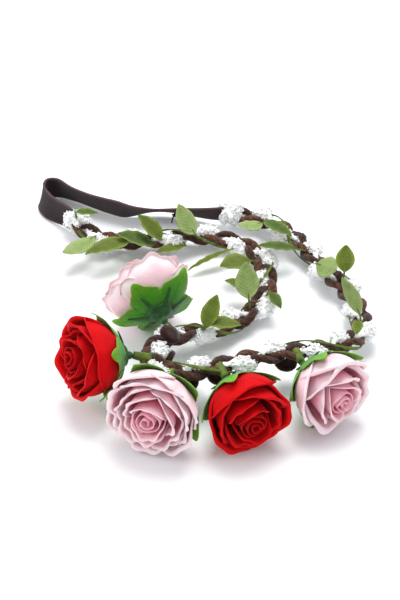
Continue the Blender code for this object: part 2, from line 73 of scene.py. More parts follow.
# x, y, z and the lean of the elastic from upright, in degrees
ELASTIC_POINTS = (
    (13, 75, 7.8, -10), (5, 76.3, 6.9, -22), (-2, 77.8, 6.4, -36), (-9, 79, 6.4, -47),
    (-16, 79.6, 6.4, -52), (-23, 79.6, 6.4, -50), (-31, 79.4, 6.3, -38), (-38, 80.8, 6.1, -24),
    (-44, 83.4, 6.1, -24), (-50, 86.4, 6.1, -24), (-56, 90, 6.1, -24), (-62, 94.2, 6.1, -24),
    (-69, 98.4, 6.1, -12), (-74.5, 97.5, 6.1, -6), (-76.8, 91.5, 6.1, -12), (-74, 84.3, 6.1, -18),
    (-69, 78.5, 6.9, -14), (-64.2, 73.8, 7.7, -4), (-60, 69, 7.8, 0),
)

PLAIT_HALF_WIDTH = 2.95 * MM    # a strand's swing to each side, less than the CAD's 3.6 mm
PLAIT_HALF_HEIGHT = 1.35 * MM   # and its swing up and down, less than the CAD's 2.5 mm
LACE_WIDER = 1.12               # swing of the lace to each side, to that of the brown cords
PLAIT_PERIOD = 33.5 * MM
STRAND_STEP = 0.5 * MM
CORD_AROUND = 32                # points round a brown cord
CORD_FUZZ = 5500                # fibres on a brown cord
LACE_CURLS = 3150               # loops on the lace of the plait
LACE_FUZZ = 1500                # and fibres on it
WRAP_CURLS = 520                # loops on the lace wound at each end of the plait
WRAP_FUZZ = 350                 # and fibres on it
CURL_SIZE = 0.60 * MM
CURL_WIDTH = 0.60 * MM
VINE_ACROSS = 5.4 * MM         # how far the vine swings beside the plait
VINE_UPRIGHT = 3.6 * MM        # and over and under it
VINE_PITCH = 58.0 * MM
VINE_START = 9.0 * MM
ROSE_STEM_STOP = 2.0 * MM       # the stem stops this far from the centre of the calyx ball
ELASTIC_START = 1.0 * MM
ELASTIC_WIDTH = 12.0 * MM
ELASTIC_FOLDED_WIDTH = 8.5 * MM

PAD_SINK = 1.2 * MM             # how far a felt pad is pressed in below its CAD solid
PAD_FUZZ = 900

PETAL_TUCK = 0.06               # how far one side of a petal is tucked in, to its radius
LIP_REACH = 1.3 * MM            # rolled lips reach this far past the CAD petals
DYE_AND_SHADE_DEPTH = 7.0 * MM           # petals darken down to this far below the rim, partly deeper dye at the foot and partly painted shade in the folds
PALEST_FOOT = 0.78              # tone that the foot of an outermost petal keeps
BACK_FLARE = 3.0 * MM           # how far the sepals stand off, on the rose seen from behind
FRONT_FLARE = 1.8 * MM          # and on the others
BACK_SEPAL_TIP = 62.0           # where the sepals end on the rose's shell, in degrees from its foot
FRONT_SEPAL_TIP = 72.0          # and on the others
SEPALS = 5
CALYX_SPIKES = 6

ROSES = ("back_pink", "left_red", "front_pink", "front_red", "right_pink")
FIRST_PETAL_SEED = 101
FIRST_COLLAR_SEED = 201
LEAF_COUNT = 22

CAMERA_TARGET = (1.5, 12.3, 0.0)  # in mm
CAMERA_ELEVATION = 38.0           # in degrees
CAMERA_DISTANCE = 800.0 * MM
CAMERA_LENS = 105.6
CAMERA_SENSOR = 36.0
FLOOR_HALF = 3.0

BLACK = (0.0, 0.0, 0.0)
WHITE = (1.0, 1.0, 1.0)


class Route:
    """A smooth curve through chosen points in mm, read by the length along it in metres."""

    def __init__(self, points, samples=24):
        points = np.array(points, float)
        points[:, :2] -= np.array(OUTLINE_MIDDLE)
        padded = np.vstack([points[:1], points, points[-1:]])
        share = (np.arange(samples) / samples)[:, None]
        pieces = []
        for before, start, end, after in zip(padded, padded[1:], padded[2:], padded[3:]):
            pieces.append(catmull_rom(before, start, end, after, share))
        self.places = np.vstack([*pieces, points[-1:]])
        self.places[:, :3] *= MM
        chords = np.linalg.norm(np.diff(self.places[:, :3], axis=0), axis=1)
        self.lengths = np.concatenate([[0.0], np.cumsum(chords)])
        self.length = self.lengths[-1]

    def at(self, along):
        columns = [np.interp(along, self.lengths, column) for column in self.places.T]
        return np.stack(columns, axis=-1)

    def tangent(self, along, reach=1.0 * MM):
        return unit(self.at(along + reach)[..., :3] - self.at(along - reach)[..., :3])

    def nearest(self, point):
        """Length along the route of the place nearest to a point."""
        return self.lengths[np.linalg.norm(self.places[:, :3] - point, axis=1).argmin()]

    def frames(self, along):
        """Middle, tangent, right side and upper side at these lengths."""
        tangent = self.tangent(along)
        side = unit(np.cross(tangent, (0.0, 0.0, 1.0)))
        return self.at(along)[..., :3], tangent, side, np.cross(side, tangent)


def catmull_rom(before, start, end, after, share):
    square, cube = share ** 2, share ** 3
    return 0.5 * (2.0 * start + (end - before) * share
                  + (2.0 * before - 5.0 * start + 4.0 * end - after) * square
                  + (3.0 * start - before - 3.0 * end + after) * cube)


def unit(vectors):
    return vectors / np.maximum(np.linalg.norm(vectors, axis=-1, keepdims=True), 1e-12)


def smoothstep(value, low, high):
    share = np.clip((value - low) / (high - low), 0.0, 1.0)
    return share * share * (3.0 - 2.0 * share)


def noise_field(points, size, seed=0.0):
    """Smooth noise from about -1 to 1 at points in metres, with features of this size."""
    flat = points.reshape(-1, 3) / size + seed
    return np.array([noise.noise(Vector(point)) for point in flat]).reshape(points.shape[:-1])


def paired(first, second):
    """A UV grid from two arrays that broadcast together."""
    return np.stack(np.broadcast_arrays(first, second), axis=-1)


def cad_points(node):
    return np.array([vertex.co for vertex in frame["nodes"][node].data.vertices])


def even(grid, value=0.5):
    """The same tone at every point of a grid."""
    return np.full(grid.shape[:2], value)


# ----------------------------------------------------------------- mesh building
class MeshParts:
    """Collects grids and spikes into one mesh, with a UV in metres and a tone for each point."""

    def __init__(self):
        self.points, self.faces, self.uvs, self.tones, self.slots = [], [], [], [], []
        self.count = 0

    def add(self, points, faces, uvs, tones, slot):
        self.points.append(points)
        self.faces.extend([[index + self.count for index in face] for face in faces])
        self.uvs.append(uvs)
        self.tones.append(tones)
        self.slots.extend([slot] * len(faces))
        self.count += len(points)

    def tube(self, grid, uv, tone, slot=0):
        """Rings of points along a closed tube, with both ends capped."""
        rings, around = grid.shape[:2]
        index = np.arange(rings * around).reshape(rings, around)
        following = np.roll(index, -1, axis=1)
        quads = np.stack([index[:-1], following[:-1], following[1:], index[1:]], axis=-1)
        faces = quads.reshape(-1, 4).tolist()
        faces.append(index[0][::-1].tolist())
        faces.append(index[-1].tolist())
        self.add(grid.reshape(-1, 3), faces, uv.reshape(-1, 2), tone.reshape(-1), slot)

    def tubes(self, grids, tone=0.5, slot=0):
        """Many small tubes at once; the grids are numbered by tube, ring and place round it."""
        count, rings, around = grids.shape[:3]
        index = np.arange(count * rings * around).reshape(count, rings, around)
        following = np.roll(index, -1, axis=2)
        quads = np.stack([index[:, :-1], following[:, :-1], following[:, 1:], index[:, 1:]], axis=-1)
        faces = quads.reshape(-1, 4).tolist() + index[:, 0, ::-1].tolist() + index[:, -1].tolist()
        points = grids.reshape(-1, 3)
        self.add(points, faces, np.zeros((len(points), 2)), np.full(len(points), tone), slot)

    def sheet(self, grid, thickness, uv, tone, slots=(0, 0)):
        """A thin closed solid either side of a grid; thickness is a number or one for each point."""
        rows, columns = grid.shape[:2]
        along = np.gradient(grid, axis=0)
        across = np.gradient(grid, axis=1)
        half = unit(np.cross(across, along)) * (np.broadcast_to(thickness, (rows, columns))[..., None] / 2)
        points = np.concatenate([(grid + half).reshape(-1, 3), (grid - half).reshape(-1, 3)])
        top = np.arange(rows * columns).reshape(rows, columns)
        bottom = top + rows * columns
        upper = np.stack([top[:-1, :-1], top[:-1, 1:], top[1:, 1:], top[1:, :-1]], axis=-1).reshape(-1, 4)
        lower = upper[:, ::-1] + rows * columns
        ring = np.concatenate([top[0, :-1], top[:-1, -1], top[-1, :0:-1], top[:0:-1, 0]])
        low = np.concatenate([bottom[0, :-1], bottom[:-1, -1], bottom[-1, :0:-1], bottom[:0:-1, 0]])
        wall = np.stack([ring, low, np.roll(low, -1), np.roll(ring, -1)], axis=-1)
        uvs = np.concatenate([uv.reshape(-1, 2)] * 2)
        tones = np.concatenate([tone.reshape(-1)] * 2)
        self.add(points, np.concatenate([upper, wall]).tolist(), uvs, tones, slots[0])
        start = self.count - len(points)
        self.faces.extend((lower + start).tolist())
        self.slots.extend([slots[1]] * len(lower))

    def spikes(self, roots, directions, lengths, width, tone=0.5, slot=0):
        """Thin three-sided fibres that stand on their roots."""
        directions = unit(directions)
        helper = np.where(np.abs(directions[:, 2:3]) < 0.9, (0.0, 0.0, 1.0), (1.0, 0.0, 0.0))
        first = unit(np.cross(directions, helper))
        second = np.cross(directions, first)
        corners = []
        for turn in (0.0, TAU / 3, 2 * TAU / 3):
            corners.append(roots + (first * math.cos(turn) + second * math.sin(turn)) * width / 2)
        corners.append(roots + directions * lengths[:, None])
        points = np.stack(corners, axis=1).reshape(-1, 3)
        faces = []
        for base in range(0, len(points), 4):
            faces.extend([[base, base + 1, base + 3], [base + 1, base + 2, base + 3],
                          [base + 2, base, base + 3], [base + 2, base + 1, base]])
        self.add(points, faces, np.zeros((len(points), 2)), np.full(len(points), tone), slot)

    def build(self, name, materials):
        mesh = bpy.data.meshes.new(name)
        points = np.concatenate(self.points)
        points[:, 2] = np.maximum(points[:, 2], FLOOR_CLEARANCE)
        mesh.from_pydata(points.tolist(), [], self.faces)
        mesh.polygons.foreach_set("material_index", self.slots)
        layer = mesh.uv_layers.new(name="UVMap")
        corner_points = np.zeros(len(mesh.loops), np.int32)
        mesh.loops.foreach_get("vertex_index", corner_points)
        layer.data.foreach_set("uv", np.concatenate(self.uvs)[corner_points].astype(np.float32).ravel())
        tone = mesh.attributes.new("tone", "FLOAT", "POINT")
        tone.data.foreach_set("value", np.concatenate(self.tones).astype(np.float32))
        mesh.shade_smooth()
        mesh.update()
        made = bpy.data.objects.new(name, mesh)
        for one in materials:
            mesh.materials.append(one)
        bpy.context.scene.collection.objects.link(made)
        return made


def finish_piece(piece, body, slot, *nodes):
    """The piece rides on the body and stands for these CAD nodes. The slot is not used."""
    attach(piece, body)
    if nodes:
        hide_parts(*nodes)
    return piece


def ring_frames(centres):
    """Two directions across a curve at each of its points, turned as little as possible."""
    tangents = unit(np.gradient(centres, axis=0))
    helper = np.array((0.0, 0.0, 1.0)) if abs(tangents[0][2]) < 0.9 else np.array((1.0, 0.0, 0.0))
    first = np.zeros_like(tangents)
    current = helper
    for index, tangent in enumerate(tangents):
        current = current - tangent * current.dot(tangent)
        current = current / np.linalg.norm(current)
        first[index] = current
    return first, np.cross(tangents, first)


def tube_grid(centres, radius, around, first=None, flat=1.0):
    """Rings round a curve. radius is a function of (ring index array, angle array), and flat is
    the thickness across the first direction, to the width along it."""
    if first is None:
        first, second = ring_frames(centres)
    else:
        second = np.cross(unit(np.gradient(centres, axis=0)), first)
    angles = np.arange(around) * TAU / around
    girth = radius(np.arange(len(centres))[:, None], angles[None, :])
    girth = np.broadcast_to(girth, (len(centres), around))
    across = (first[:, None] * np.cos(angles)[None, :, None]
              + second[:, None] * (flat * np.sin(angles))[None, :, None])
    chords = np.linalg.norm(np.diff(centres, axis=0), axis=1)
    lengths = np.concatenate([[0.0], np.cumsum(chords)])
    uv = paired(lengths[:, None], angles[None, :] * girth.mean())
    return centres[:, None] + across * girth[..., None], across, uv


# --------------------------------------------------------------------- materials
class Shader:
    """A Principled material that is built up node by node."""

    def __init__(self, name, roughness, sheen=0.0, specular=0.3, subsurface=0.0, subsurface_scale=1.0 * MM):
        self.material = bpy.data.materials.new(name)
        self.material.use_nodes = True
        self.tree = self.material.node_tree
        self.surface = self.tree.nodes["Principled BSDF"]
        self.surface.inputs["Roughness"].default_value = roughness
        self.surface.inputs["Specular IOR Level"].default_value = specular
        self.surface.inputs["Sheen Weight"].default_value = sheen
        self.surface.inputs["Sheen Roughness"].default_value = 0.4
        self.surface.inputs["Subsurface Weight"].default_value = subsurface
        self.surface.inputs["Subsurface Scale"].default_value = subsurface_scale

    def node(self, kind, **values):
        made = self.tree.nodes.new(kind)
        for name, value in values.items():
            if name in made.inputs:
                made.inputs[name].default_value = value
            else:
                setattr(made, name, value)
        return made

    def link(self, source, target):
        self.tree.links.new(source, target)

    def coordinates(self, kind="Object", scale=(1.0, 1.0, 1.0)):
        source = self.node("ShaderNodeTexCoord")
        mapping = self.node("ShaderNodeMapping")
        mapping.inputs["Scale"].default_value = scale
        self.link(source.outputs[kind], mapping.inputs["Vector"])
        return mapping.outputs["Vector"]

    def noise(self, size, detail=3.0, coordinates=None):
        made = self.node("ShaderNodeTexNoise", Scale=1.0 / size, Detail=detail, Roughness=0.6)
        self.link(coordinates or self.coordinates(), made.inputs["Vector"])
        return made.outputs["Fac"]

    def waves(self, size, direction):
        """Even ribs of this pitch across one direction of the UV."""
        made = self.node("ShaderNodeTexWave", Scale=TAU / (20.0 * size), Distortion=0.0)
        made.bands_direction = direction
        self.link(self.coordinates("UV"), made.inputs["Vector"])
        return made.outputs["Fac"]

    def tone(self):
        made = self.node("ShaderNodeAttribute")
        made.attribute_name = "tone"
        return made.outputs["Fac"]

    def ramp(self, factor, stops):
        made = self.node("ShaderNodeValToRGB")
        elements = made.color_ramp.elements
        while len(elements) < len(stops):
            elements.new(0.5)
        for element, (position, colour) in zip(elements, stops):
            element.position = position
            element.color = (*colour, 1.0)
        self.link(factor, made.inputs["Fac"])
        return made.outputs["Color"]

    def mix(self, factor, first, second, mode="MIX"):
        """Blend two colours; each may be a socket or a colour, and factor a socket or a number."""
        made = self.node("ShaderNodeMix")
        made.data_type = "RGBA"
        made.blend_type = mode
        inputs = [made.inputs[0], made.inputs[6], made.inputs[7]]
        for target, value in zip(inputs, (factor, first, second)):
            if isinstance(value, bpy.types.NodeSocket):
                self.link(value, target)
            else:
                target.default_value = value if isinstance(value, float) else (*value, 1.0)
        return made.outputs[2]

    def math(self, operation, first, second):
        made = self.node("ShaderNodeMath")
        made.operation = operation
        for target, value in zip(made.inputs, (first, second)):
            if isinstance(value, bpy.types.NodeSocket):
                self.link(value, target)
            else:
                target.default_value = value
        return made.outputs[0]

    def colour(self, socket):
        self.link(socket, self.surface.inputs["Base Color"])

    def bump(self, *heights):
        """Each height is (socket, depth in metres); they are stacked."""
        normal = None
        for socket, depth in heights:
            made = self.node("ShaderNodeBump", Strength=1.0, Distance=depth)
            self.link(socket, made.inputs["Height"])
            if normal:
                self.link(normal, made.inputs["Normal"])
            normal = made.outputs["Normal"]
        self.link(normal, self.surface.inputs["Normal"])


def cord_material(name, dark, mid, light):
    """Brushed yarn: fibres run along the twisted plies; the grooves between the plies are darkened with
    painted shade.
    """
    shader = Shader(name, 0.8, sheen=0.25, specular=0.18)
    along = shader.coordinates("UV", (0.22, 1.0, 1.0))
    fibre = shader.noise(0.26 * MM, 4.0, along)
    grain = shader.noise(1.8 * MM, 3.0)
    body = shader.ramp(fibre, ((0.32, dark), (0.50, mid), (0.72, light)))
    patches = shader.ramp(grain, ((0.30, (0.62, 0.58, 0.56)), (0.70, (1.15, 1.12, 1.10))))
    shaded = shader.mix(1.0, body, patches, "MULTIPLY")
    # painted shade: darkens the cord where its tone is low, in the grooves between the plies and in its dents
    painted_groove_shade = shader.ramp(shader.tone(), ((0.0, (0.16, 0.14, 0.14)), (0.45, (0.70, 0.68, 0.66)),
                                         (0.9, WHITE)))
    shader.colour(shader.mix(1.0, shaded, painted_groove_shade, "MULTIPLY"))
    shader.bump((fibre, 0.5 * MM), (grain, 0.25 * MM))
    return shader.material


def lace_material():
    shader = Shader("lace_fluff", 1.0, specular=0.0)
    knots = shader.noise(0.9 * MM, 3.0)
    fine = shader.noise(0.22 * MM, 3.0)
    shader.colour(shader.ramp(knots, ((0.25, (0.90, 0.90, 0.92)), (0.45, (0.98, 0.98, 0.98)),
                                      (1.0, (0.99, 0.99, 0.98)))))
    shader.bump((knots, 0.4 * MM), (fine, 0.15 * MM))
    return shader.material


def petal_material(name, base, middle, edge, subsurface, sheen):
    """Woven fabric petals: darker at the foot, partly deeper dye and partly painted shade in the folds, paler
    towards the rim.
    """
    shader = Shader(name, 0.72, sheen=sheen, specular=0.12, subsurface=subsurface, subsurface_scale=1.5 * MM)
    shade = shader.ramp(shader.tone(), ((0.0, base), (0.55, middle), (1.0, edge)))
    mottled = shader.noise(5.0 * MM, 3.0)
    uneven = shader.ramp(mottled, ((0.3, (0.93, 0.93, 0.93)), (0.7, (1.0, 1.0, 1.0))))
    shader.colour(shader.mix(1.0, shade, uneven, "MULTIPLY"))
    warp = shader.waves(0.32 * MM, "X")
    weft = shader.waves(0.32 * MM, "Y")
    weave = shader.math("MULTIPLY", warp, weft)
    shader.bump((weave, 0.03 * MM), (mottled, 0.5 * MM))
    return shader.material


def collar_material():
    shader = Shader("collar_cloth", 0.55, sheen=0.2, specular=0.3, subsurface=0.15)
    shade = shader.ramp(shader.tone(), ((0.0, (0.012, 0.10, 0.006)), (0.45, (0.055, 0.30, 0.004)),
                                        (0.85, (0.16, 0.42, 0.005)), (1.0, (0.26, 0.46, 0.02))))
    streaks = shader.noise(1.6 * MM, 3.0)
    uneven = shader.ramp(streaks, ((0.3, (0.75, 0.8, 0.7)), (0.7, (1.0, 1.0, 1.0))))
    shader.colour(shader.mix(1.0, shade, uneven, "MULTIPLY"))
    weave = shader.math("MULTIPLY", shader.waves(0.3 * MM, "X"), shader.waves(0.3 * MM, "Y"))
    shader.bump((weave, 0.03 * MM), (streaks, 0.15 * MM))
    return shader.material


def plastic_material():
    shader = Shader("calyx_plastic", 0.42, specular=0.5)
    cloudy = shader.noise(2.0 * MM, 2.0)
    shader.colour(shader.ramp(cloudy, ((0.3, (0.006, 0.055, 0.008)), (0.7, (0.015, 0.11, 0.012)))))
    shader.bump((cloudy, 0.1 * MM))
    return shader.material


def leaf_material(name, dark, light, edge, vein, roughness):
    """Leaf cloth with a midrib and slanted side veins; its UV runs along and across the leaf."""
    shader = Shader(name, roughness, sheen=0.1, specular=0.3, subsurface=0.1)
    mottled = shader.noise(3.0 * MM, 3.0)
    body = shader.ramp(mottled, ((0.25, dark), (0.75, light)))
    rim = shader.ramp(shader.tone(), ((0.55, BLACK), (1.0, WHITE)))
    rimmed = shader.mix(rim, body, edge)
    veins = shader.waves(1.7 * MM, "X")
    sharp = shader.ramp(veins, ((0.80, BLACK), (0.98, WHITE)))
    faint = shader.math("MULTIPLY", sharp, 0.35)
    shader.colour(shader.mix(faint, rimmed, vein))
    fine = shader.noise(0.4 * MM, 3.0)
    shader.bump((sharp, 0.12 * MM), (fine, 0.06 * MM), (mottled, 0.3 * MM))
    return shader.material


def elastic_material():
    shader = Shader("elastic_weave", 0.8, sheen=0.15, specular=0.2)
    threads = shader.waves(0.5 * MM, "Y")
    picks = shader.waves(0.45 * MM, "X")
    weave = shader.math("MULTIPLY", threads, picks)
    worn = shader.noise(3.5 * MM, 3.0)
    body = shader.ramp(weave, ((0.0, (0.016, 0.008, 0.011)), (0.6, (0.042, 0.023, 0.027)),
                               (1.0, (0.085, 0.050, 0.054))))
    faded = shader.ramp(worn, ((0.3, (0.75, 0.75, 0.78)), (0.7, (1.1, 1.05, 1.0))))
    mixed = shader.mix(1.0, body, faded, "MULTIPLY")
    edge = shader.ramp(shader.tone(), ((0.80, BLACK), (1.0, WHITE)))
    shader.colour(shader.mix(edge, mixed, (0.085, 0.048, 0.048)))
    shader.bump((threads, 0.10 * MM), (picks, 0.05 * MM))
    return shader.material


def felt_material():
    shader = Shader("pad_felt", 0.95, sheen=0.3, specular=0.1)
    fibre = shader.noise(0.4 * MM, 4.0)
    shader.colour(shader.ramp(fibre, ((0.3, (0.012, 0.004, 0.004)), (0.7, (0.05, 0.018, 0.014)))))
    shader.bump((fibre, 0.3 * MM))
    return shader.material


def vine_material():
    shader = Shader("vine_cloth", 0.7, specular=0.25)
    mottled = shader.noise(2.5 * MM, 3.0)
    shader.colour(shader.ramp(mottled, ((0.3, (0.05, 0.09, 0.012)), (0.7, (0.17, 0.24, 0.04)))))
    shader.bump((shader.waves(0.3 * MM, "Y"), 0.05 * MM))
    return shader.material


def thread_material():
    shader = Shader("sewing_thread", 0.7, specular=0.3)
    twist = shader.noise(0.3 * MM, 2.0)
    shader.colour(shader.ramp(twist, ((0.3, (0.006, 0.006, 0.008)), (0.7, (0.03, 0.03, 0.035)))))
    shader.bump((twist, 0.1 * MM))
    return shader.material


# ------------------------------------------------------------------------ camera
def make_camera():
    elevation = math.radians(CAMERA_ELEVATION)
    back = Vector((0.0, -math.cos(elevation), math.sin(elevation)))
    camera = bpy.data.objects.new("camera", bpy.data.cameras.new("camera"))
    bpy.context.scene.collection.objects.link(camera)
    camera.location = Vector(CAMERA_TARGET) * MM + back * CAMERA_DISTANCE
    camera.rotation_mode = "QUATERNION"
    camera.rotation_quaternion = (-back).to_track_quat("-Z", "Y")
    camera.data.lens = CAMERA_LENS
    camera.data.sensor_width = CAMERA_SENSOR
    camera.data.dof.use_dof = False
    bpy.context.scene.camera = camera


# ----------------------------------------------------------------------- elastic
def make_elastic(route, materials):
    """A woven flat elastic: lengthwise ribs, thicker selvedges, folded narrower at its start."""
    rows, columns = 300, 49
    along = np.linspace(ELASTIC_START, route.length - ELASTIC_START, rows)
    share = np.linspace(0.0, 1.0, rows)
    place = route.at(along)
    tangent = route.tangent(along, 0.5 * MM)
    outward = unit(np.cross(tangent, (0.0, 0.0, 1.0)))
    lean = np.radians(place[:, 3])[:, None]
    across = np.array((0.0, 0.0, 1.0)) * np.cos(lean) + outward * np.sin(lean)
    normal = np.cross(across, tangent)
    width = ELASTIC_FOLDED_WIDTH + (ELASTIC_WIDTH - ELASTIC_FOLDED_WIDTH) * np.minimum(1.0, share / 0.25)
    middle = place[:, :3]
    low = middle[:, 2] - across[:, 2] * width / 2
    middle = middle + np.maximum(0.0, 0.8 * MM - low)[:, None] * np.array((0.0, 0.0, 1.0))
    offset = np.linspace(-0.5, 0.5, columns)
    cup = 0.25 * MM * np.cos(offset * math.pi)
    ribs = 0.05 * MM * np.cos(offset * TAU * 12)
    wobble = 0.2 * MM * np.sin(along * TAU / (31 * MM))[:, None] * offset[None, :] * 2
    grid = (middle[:, None] + across[:, None] * (offset[None, :] * width[:, None])[..., None]
            + normal[:, None] * (cup[None, :] + wobble + 0 * along[:, None])[..., None])
    thickness = np.broadcast_to(0.9 * MM + 2 * ribs + 0.25 * MM * (np.abs(offset) > 0.46), (rows, columns))
    uv = paired(along[:, None], offset[None, :] * ELASTIC_WIDTH)
    tone = np.broadcast_to(np.abs(offset) * 2.0, (rows, columns))
    parts = MeshParts()
    parts.sheet(grid, thickness, uv, tone)
    piece = parts.build("woven_elastic", [materials["elastic"]])
    finish_piece(piece, "band", "elastic_brown", "elastic_band")


# ------------------------------------------------------------------------- plait
def strand_centres(band, phase, half_width, half_height):
    """Middle of one plaited strand, its flat direction and how far out it swings, from 0 to 1."""
    along = np.arange(0.0, band.length, STRAND_STEP)
    middle, _, side, upper = band.frames(along)
    turn = TAU * along / PLAIT_PERIOD + phase
    centres = (middle + side * (half_width * np.sin(turn))[:, None]
               + upper * (half_height * np.sin(2.0 * turn))[:, None])
    flat_way = unit(np.cross(unit(np.gradient(centres, axis=0)), upper))
    return centres, flat_way, np.abs(np.sin(turn))


def add_fuzz(parts, grid, across, count, length, width, seed):
    """Short fibres that stand out of a tube's surface."""
    chooser = np.random.default_rng(seed)
    rings, around = grid.shape[:2]
    ring = chooser.integers(2, rings - 2, count)
    turn = chooser.integers(0, around, count)
    directions = across[ring, turn] + chooser.normal(0.0, 0.7, (count, 3))
    lengths = length * chooser.uniform(0.4, 1.0, count)
    parts.spikes(grid[ring, turn] - across[ring, turn] * width, directions, lengths, width)


def add_curls(parts, grid, across, count, size, width, seed, weight=None):
    """Small loops of yarn that stand on a tube's surface, more of them where weight is high."""
    chooser = np.random.default_rng(seed)
    rings, around = grid.shape[:2]
    share = None if weight is None else weight[2:-2] / weight[2:-2].sum()
    ring = chooser.choice(np.arange(2, rings - 2), count, p=share)
    turn = chooser.integers(0, around, count)
    root = grid[ring, turn]
    outward = unit(across[ring, turn] + chooser.normal(0.0, 0.35, (count, 3)))
    beside = unit(np.cross(outward, chooser.normal(0.0, 1.0, (count, 3))))
    last = np.cross(outward, beside)
    radius = size * chooser.uniform(0.6, 1.15, count)
    bend = np.linspace(-2.2, 2.2, 6)[None, :, None]
    sweep = outward[:, None] * np.cos(bend) + beside[:, None] * np.sin(bend)
    middle = root[:, None] + outward[:, None] * (radius * 0.45)[:, None, None] + sweep * radius[:, None, None]
    angles = (np.arange(4) * TAU / 4)[None, None, :, None]
    rim = sweep[:, :, None] * np.cos(angles) + last[:, None, None] * np.sin(angles)
    parts.tubes(middle[:, :, None] + rim * width / 2)


def make_brown_cord(band, name, node, slot, phase, material, seed):
    """Twisted plies in a flattened cord that swells where it is on the outside of the plait."""
    centres, flat_way, outside = strand_centres(band, phase, PLAIT_HALF_WIDTH, PLAIT_HALF_HEIGHT)
    plies, pitch = 4, 12.0 * MM
    turned = np.arange(len(centres)) * STRAND_STEP * TAU / pitch
    swell = (1.42 + 0.68 * outside ** 1.2) * MM

    def ridge(ring, angle):
        return np.abs(np.cos((angle - turned[ring]) * plies / 2))

    def radius(ring, angle):
        return swell[ring] * (0.84 + 0.16 * ridge(ring, angle) ** 0.6)

    grid, across, uv = tube_grid(centres, radius, CORD_AROUND, flat_way, 0.70)
    rough = noise_field(grid, 0.6 * MM, seed) * 0.09 * MM + noise_field(grid, 2.3 * MM, seed) * 0.16 * MM
    grid = grid + across * rough[..., None]
    raised = ridge(np.arange(len(centres))[:, None], np.arange(CORD_AROUND)[None, :] * TAU / CORD_AROUND)
    uv[..., 1] = uv[..., 1] - turned[:, None] * 1.5 * MM
    parts = MeshParts()
    # the tone is low in the grooves between the plies and in dents; the cord's material paints shade there
    parts.tube(grid, uv, np.clip(raised ** 0.8 + rough / (0.5 * MM), 0.0, 1.0))
    add_fuzz(parts, grid, across, CORD_FUZZ, 0.9 * MM, 0.05 * MM, seed)
    finish_piece(parts.build(name, [material]), "band", slot, node)


def make_lace(band, material):
    """Fluffy white lace of small loops: puffs where it is on the outside, squeezed where it crosses."""
    half_width = PLAIT_HALF_WIDTH * LACE_WIDER
    centres, flat_way, outside = strand_centres(band, TAU * 2 / 3, half_width, PLAIT_HALF_HEIGHT)
    puffed = smoothstep(outside, 0.45, 1.0)
    swell = (1.2 + 2.3 * puffed) * MM
    grid, across, uv = tube_grid(centres, lambda ring, angle: swell[ring], 26, flat_way, 0.86)
    lumps = noise_field(grid, 3.2 * MM, 5.0) * 0.9 + noise_field(grid, 1.4 * MM, 9.0) * 0.5
    depth = (0.35 + 0.65 * (swell / swell.max()))[:, None] * MM
    grid = grid + across * (lumps * depth)[..., None]
    parts = MeshParts()
    parts.tube(grid, uv, even(grid))
    add_curls(parts, grid, across, LACE_CURLS, CURL_SIZE, CURL_WIDTH, 12, 0.10 + puffed)
    add_fuzz(parts, grid, across, LACE_FUZZ, 1.3 * MM, 0.06 * MM, 11)
    finish_piece(parts.build("lace_puffs", [material]), "band", "lace_white", "white_lace")


def make_wrap(band, name, node, along, materials, seed):
    """Lace wound in a tuft round the joint of the plait and the elastic."""
    low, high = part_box(node)
    middle = np.array((low + high) / 2)
    tangent = band.tangent(np.array([along]))[0]
    side = unit(np.cross(tangent, (0.0, 0.0, 1.0)))
    upper = np.cross(side, tangent)
    turns, steps = 3.2, 130
    turn = np.linspace(0.0, TAU * turns, steps)
    reach = np.linspace(-4.0, 4.0, steps) * MM
    bulge = 3.0 * MM + 0.5 * MM * np.sin(turn * 0.37 + seed)
    centres = (middle + tangent * reach[:, None] + side * (bulge * np.cos(turn))[:, None] * 0.8
               + upper * (bulge * np.sin(turn))[:, None])
    swell = 1.9 * MM * np.sin(np.linspace(0.35, math.pi - 0.35, steps)) ** 0.4
    grid, across, uv = tube_grid(centres, lambda ring, angle: swell[ring], 20)
    lumps = noise_field(grid, 2.2 * MM, seed) * 0.7 + noise_field(grid, 0.8 * MM, seed + 4) * 0.3
    grid = grid + across * (lumps * MM)[..., None]
    parts = MeshParts()
    parts.tube(grid, uv, even(grid))
    add_curls(parts, grid, across, WRAP_CURLS, CURL_SIZE, CURL_WIDTH, seed)
    add_fuzz(parts, grid, across, WRAP_FUZZ, 1.6 * MM, 0.06 * MM, seed)
    finish_piece(parts.build(name, [materials["lace"]]), "band", "lace_white", node)


def bend_through(start, control, end, count):
    """Points of a smooth bend from start to end, drawn towards control."""
    share = np.linspace(0.0, 1.0, count)
    weights = np.stack([(1.0 - share) ** 2, 2.0 * share * (1.0 - share), share ** 2], axis=-1)
    return weights @ np.array([start, control, end])


def make_knot(materials):
    """Thread tied in a knot, with two cut ends."""
    low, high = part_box("thread_knot")
    middle = np.array((low + high) / 2)
    radius = (high.x - low.x) / 2
    turn = np.linspace(0.0, TAU, 90)
    loop = np.stack([np.sin(turn) + 2 * np.sin(2 * turn), np.cos(turn) - 2 * np.cos(2 * turn),
                     -np.sin(3 * turn)], axis=-1)
    centres = middle + loop * radius * 0.28
    strands = [centres]
    for control, end in (((1.2, -1.2, -0.6), (2.0, -2.6, -1.4)), ((-1.0, -1.4, -1.0), (-1.2, -2.8, -2.6))):
        strands.append(middle + bend_through((0.0, 0.0, 0.0), control, end, 20) * MM)
    parts = MeshParts()
    for points in strands:
        grid, _, uv = tube_grid(points, lambda ring, angle: 0.38 * MM, 8)
        parts.tube(grid, uv, even(grid, 0.0))
    finish_piece(parts.build("tied_thread", [materials["thread"]]), "band", "thread_black", "thread_knot")


def bent_stem(start, control, end, thick, thin):
    """A tapering round stem along a bend from start to end."""
    count = 14

    def radius(ring, angle):
        return thick + (thin - thick) * ring / (count - 1.0)

    grid, _, uv = tube_grid(bend_through(start, control, end, count), radius, 10)
    return grid, uv


